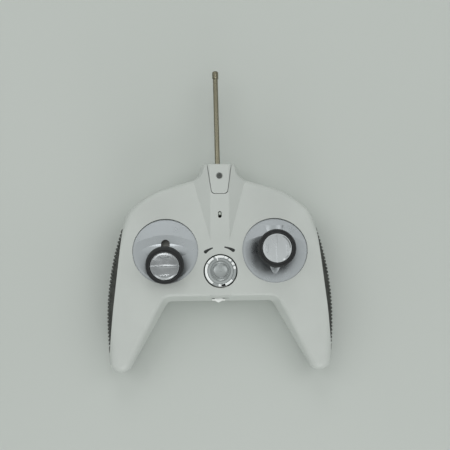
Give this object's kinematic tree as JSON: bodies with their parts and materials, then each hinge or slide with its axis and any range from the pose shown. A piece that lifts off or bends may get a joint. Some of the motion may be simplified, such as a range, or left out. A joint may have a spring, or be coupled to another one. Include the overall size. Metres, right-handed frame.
{
  "type": "radio transmitter controller",
  "caption": "Hand-held radio transmitter with two disc-topped thumb sticks in round dishes, a trim dial, a power slide, ribbed side grips and a telescopic antenna.",
  "frame": {"origin": "centre of the whole part in plan, at the flat back it lies on", "axes": "+X to the right across the face, +Y from the hand grips towards the antenna, +Z out of the face"},
  "size_m": [0.1726, 0.2332, 0.0562],
  "materials": {
    "housing_plastic": "fine moulded texture, warm light grey",
    "cover_plastic": "fine moulded texture, warm light grey",
    "grip_rubber": "moulded ribs, matt black",
    "dish_metallised": "satin silver, metallised",
    "knob_rubber": "matt black",
    "cap_metallised": "satin silver, metallised",
    "stick_plastic": "black acetal",
    "dial_metallised": "bright silver, metallised",
    "switch_plastic": "white",
    "light_lens": "clear epoxy",
    "antenna_nickel": "nickel-plated brass",
    "steel": "zinc-plated",
    "board_laminate": "green solder mask",
    "component_body": "moulded epoxy",
    "frame_plastic": "black acetal",
    "cell_jacket": "printed jacket",
    "lead_insulation": "PVC"
  },
  "bodies": {
    "housing": {"front_shell": "housing_plastic", "rear_shell": "housing_plastic", "antenna_cover": "cover_plastic", "left_side_grip": "grip_rubber", "right_side_grip": "grip_rubber", "left_stick_dish": "dish_metallised", "right_stick_dish": "dish_metallised", "trim_pot_body": "frame_plastic", "light_lens": "light_lens", "light_base": "light_lens", "power_switch_body": "steel", "antenna_cover_screw": "steel", "housing_screws": "steel", "board_screws": "steel", "left_gimbal_screws": "steel", "right_gimbal_screws": "steel", "left_friction_spring": "steel", "right_centring_spring": "steel", "left_gimbal_frame": "frame_plastic", "right_gimbal_frame": "frame_plastic", "left_stick_pot": "frame_plastic", "right_stick_pot": "frame_plastic", "antenna_base_tube": "antenna_nickel", "antenna_socket": "frame_plastic", "battery_cells": "cell_jacket", "battery_plate_contacts": "steel", "battery_spring_contacts": "steel", "main_circuit_board": "board_laminate", "board_components": "component_body", "battery_leads": "lead_insulation", "antenna_lead": "lead_insulation"},
    "left_stick_set": {"left_stick": "stick_plastic", "left_knob_ring": "knob_rubber", "left_knob_cap": "cap_metallised"},
    "right_stick_set": {"right_stick": "stick_plastic", "right_knob_ring": "knob_rubber", "right_knob_cap": "cap_metallised"},
    "trim_dial_set": {"trim_dial": "dial_metallised", "trim_dial_cap": "dial_metallised", "trim_pot_shaft": "steel"},
    "power_slide": {"power_switch_button": "switch_plastic"},
    "antenna_second_stage": {"antenna_second_tube": "antenna_nickel"},
    "antenna_third_stage": {"antenna_third_tube": "antenna_nickel"},
    "antenna_top_stage": {"antenna_rod": "antenna_nickel", "antenna_tip": "antenna_nickel"},
    "battery_door_set": {"battery_door": "housing_plastic"}
  },
  "joints": [
    {"name": "left_stick_tilt", "type": "hinge", "parent": "housing", "child": "left_stick_set", "pos_m": [-0.0413, -0.02621, 0.0201], "axis": [-1, 0, 0], "range_deg": [0, 44]},
    {"name": "right_stick_tilt", "type": "hinge", "parent": "housing", "child": "right_stick_set", "pos_m": [0.0413, -0.02621, 0.0201], "axis": [0, 1, 0], "range_deg": [-22, 22], "stiffness_Nm_per_rad": 0.03, "deforming": ["right_centring_spring"]},
    {"name": "trim_dial_turn", "type": "hinge", "parent": "housing", "child": "trim_dial_set", "pos_m": [0, -0.04171, 0.036], "axis": [0, 0, 1], "range_deg": [-135, 135]},
    {"name": "power_switch_slide", "type": "slide", "parent": "housing", "child": "power_slide", "axis": [1, 0, 0], "range_m": [0, 0.003]},
    {"name": "antenna_second_slide", "type": "slide", "parent": "housing", "child": "antenna_second_stage", "axis": [-0.0104, 0.9961, -0.0872], "range_m": [0, 0.058]},
    {"name": "antenna_third_slide", "type": "slide", "parent": "antenna_second_stage", "child": "antenna_third_stage", "axis": [-0.0104, 0.9961, -0.0872], "range_m": [0, 0.058]},
    {"name": "antenna_top_slide", "type": "slide", "parent": "antenna_third_stage", "child": "antenna_top_stage", "axis": [-0.0104, 0.9961, -0.0872], "range_m": [0, 0.058]},
    {"name": "battery_door_hinge", "type": "hinge", "parent": "housing", "child": "battery_door_set", "pos_m": [0, 0.00349, 0.001], "axis": [1, 0, 0], "range_deg": [0, 75]}
  ]
}
